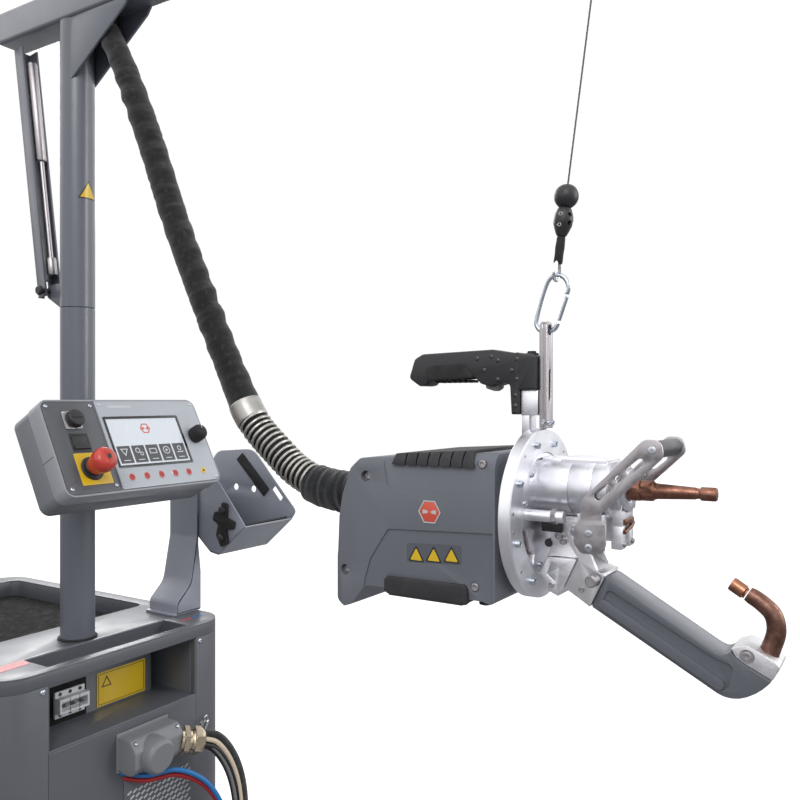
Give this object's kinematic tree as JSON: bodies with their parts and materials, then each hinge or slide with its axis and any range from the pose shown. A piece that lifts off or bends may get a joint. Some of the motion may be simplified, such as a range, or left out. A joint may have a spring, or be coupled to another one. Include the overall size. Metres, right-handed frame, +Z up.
{
  "type": "spot welding station",
  "caption": "Mobile resistance spot welder: wheeled power source with mast, control panel and swivelling boom that hangs a welding gun on a balancer wire.",
  "frame": {"origin": "on the floor, at the centre of the machine's outline seen from above; the mast's axis stands at x -0.0845, y 0.2917", "axes": "+Z up along the mast; +X to the right when facing the cart's front; the cart's front, the boom and the gun point along -Y"},
  "size_m": [0.639, 1.7834, 2.028],
  "materials": {
    "cart_paint": "fine-textured dark grey powder coat",
    "mast_paint": "satin grey enamel",
    "arm_paint": "satin grey cast finish",
    "holder_paint": "satin blue-grey powder coat",
    "panel_light": "light grey satin paint",
    "panel_dark": "dark grey fine texture paint",
    "housing_plastic": "grey moulded plastic, fine spark texture",
    "black_rubber": "matt black rubber",
    "tyre_rubber": "black wheel rubber",
    "black_plastic": "black glass-filled nylon",
    "machined_aluminium": "milled and clear anodised",
    "steel": "brushed steel",
    "zinc": "zinc plated steel",
    "copper": "turned copper alloy",
    "hose_fabric": "black woven sleeve",
    "white_plastic": "white moulded plastic",
    "grey_plastic": "grey moulded plastic",
    "signal_red": "gloss red plastic"
  },
  "bodies": {
    "cart": {"chassis": "cart_paint", "cabinet": "cart_paint", "top_plate": "cart_paint", "front_panel": "cart_paint", "inverter_unit": "machined_aluminium", "coolant_tank": "white_plastic", "breaker_body": "white_plastic", "plug_hood": "grey_plastic", "cable_loom": "black_rubber", "mast_lower": "mast_paint", "holder_arm": "holder_paint", "holder_cradle": "holder_paint", "panel_bracket": "arm_paint", "panel_bezel": "panel_light", "panel_box": "panel_dark", "display": "black_plastic"},
    "rear_wheel_left": {"rear_wheel_left": "tyre_rubber"},
    "rear_wheel_right": {"rear_wheel_right": "tyre_rubber"},
    "caster_left": {"caster_fork_left": "zinc"},
    "caster_right": {"caster_fork_right": "zinc"},
    "caster_wheel_left": {"caster_wheel_left": "tyre_rubber"},
    "caster_wheel_right": {"caster_wheel_right": "tyre_rubber"},
    "breaker_lever": {"breaker_lever": "black_plastic"},
    "estop": {"estop_button": "signal_red"},
    "encoder": {"encoder_knob": "black_rubber"},
    "rocker": {"rocker_switch": "black_plastic"},
    "boom": {"boom": "mast_paint", "strut_channel": "arm_paint", "gas_spring": "zinc", "balancer": "arm_paint", "wire_rope": "zinc", "hose_package": "hose_fabric"},
    "hook": {"wire_end_fitting": "black_plastic", "snap_hook": "zinc"},
    "hook_gate": {"snap_hook_gate": "zinc"},
    "gun_frame": {"hanger_bracket": "steel", "rotary_ring": "machined_aluminium", "handle_post": "machined_aluminium", "handle_body": "black_plastic", "hose_spring_guard": "zinc"},
    "trigger": {"trigger": "grey_plastic"},
    "top_button": {"top_button": "black_rubber"},
    "gun_body": {"housing_left": "housing_plastic", "housing_right": "housing_plastic", "top_pad": "black_rubber", "transformer": "copper", "gun_head": "machined_aluminium", "arm_carrier": "machined_aluminium", "front_plate_left": "steel", "front_plate_right": "steel", "front_grip": "black_plastic", "hose_cuff": "hose_fabric"},
    "electrode_slide": {"upper_electrode": "copper", "upper_cap": "copper"},
    "lower_arm": {"arm_block": "machined_aluminium", "lower_arm": "arm_paint", "arm_clamp": "machined_aluminium", "lower_electrode": "copper", "lower_cap": "copper"},
    "release_pin": {"arm_release_pin": "steel"}
  },
  "joints": [
    {"name": "rear_wheel_left_spin", "type": "hinge", "parent": "cart", "child": "rear_wheel_left", "pos_m": [-0.2805, 0.76165, 0.08], "axis": [1, 0, 0], "continuous": true},
    {"name": "rear_wheel_right_spin", "type": "hinge", "parent": "cart", "child": "rear_wheel_right", "pos_m": [0.1355, 0.76165, 0.08], "axis": [1, 0, 0], "continuous": true},
    {"name": "caster_left_swivel", "type": "hinge", "parent": "cart", "child": "caster_left", "pos_m": [-0.2325, 0.25165, 0.15], "axis": [0, 0, 1], "continuous": true},
    {"name": "caster_right_swivel", "type": "hinge", "parent": "cart", "child": "caster_right", "pos_m": [0.0875, 0.25165, 0.15], "axis": [0, 0, 1], "continuous": true},
    {"name": "caster_left_spin", "type": "hinge", "parent": "caster_left", "child": "caster_wheel_left", "pos_m": [-0.2325, 0.28165, 0.06], "axis": [1, 0, 0], "continuous": true},
    {"name": "caster_right_spin", "type": "hinge", "parent": "caster_right", "child": "caster_wheel_right", "pos_m": [0.0875, 0.28165, 0.06], "axis": [1, 0, 0], "continuous": true},
    {"name": "breaker_toggle", "type": "hinge", "parent": "cart", "child": "breaker_lever", "pos_m": [-0.1295, 0.24535, 0.753], "axis": [1, 0, 0], "range_deg": [0, 45]},
    {"name": "estop_push", "type": "slide", "parent": "cart", "child": "estop", "axis": [0, 0.8829, -0.4695], "range_m": [0, 0.004]},
    {"name": "encoder_turn", "type": "hinge", "parent": "cart", "child": "encoder", "pos_m": [0.0495, 0.13505, 1.2151], "axis": [0, -0.8829, 0.4695], "continuous": true},
    {"name": "rocker_tilt", "type": "hinge", "parent": "cart", "child": "rocker", "pos_m": [-0.195, 0.13725, 1.2128], "axis": [1, 0, 0], "range_deg": [-6, 6]},
    {"name": "boom_swivel", "type": "hinge", "parent": "cart", "child": "boom", "pos_m": [-0.0845, 0.29165, 1.45], "axis": [0, 0, 1], "range_deg": [-120, 120]},
    {"name": "balancer_travel", "type": "slide", "parent": "boom", "child": "hook", "axis": [0, -0.1338, 0.991], "range_m": [-0.25, 0.2], "deforming": ["wire_rope", "hose_package"]},
    {"name": "hook_gate_swing", "type": "hinge", "parent": "hook", "child": "hook_gate", "pos_m": [-0.0845, -0.64695, 1.4088], "axis": [1, 0, 0], "range_deg": [0, 25]},
    {"name": "gun_tilt", "type": "hinge", "parent": "hook", "child": "gun_frame", "pos_m": [-0.0845, -0.62035, 1.3695], "axis": [1, 0, 0], "range_deg": [-12, 12], "deforming": ["hose_spring_guard"]},
    {"name": "trigger_pull", "type": "slide", "parent": "gun_frame", "child": "trigger", "axis": [0, 0, 1], "range_m": [0, 0.004]},
    {"name": "top_button_press", "type": "slide", "parent": "gun_frame", "child": "top_button", "axis": [0, 0, -1], "range_m": [0, 0.003]},
    {"name": "gun_roll", "type": "hinge", "parent": "gun_frame", "child": "gun_body", "pos_m": [-0.0845, -0.61935, 1.144], "axis": [0, 1, 0], "range_deg": [-110, 110], "deforming": ["hose_cuff"]},
    {"name": "electrode_stroke", "type": "slide", "parent": "gun_body", "child": "electrode_slide", "axis": [0, -1, 0], "range_m": [0, 0.011]},
    {"name": "lower_arm_close", "type": "hinge", "parent": "gun_body", "child": "lower_arm", "pos_m": [-0.0845, -0.66835, 1.128], "axis": [-1, 0, 0], "range_deg": [0, 32]},
    {"name": "arm_pin_pull", "type": "slide", "parent": "lower_arm", "child": "release_pin", "axis": [-1, 0, 0], "range_m": [0, 0.006]}
  ]
}
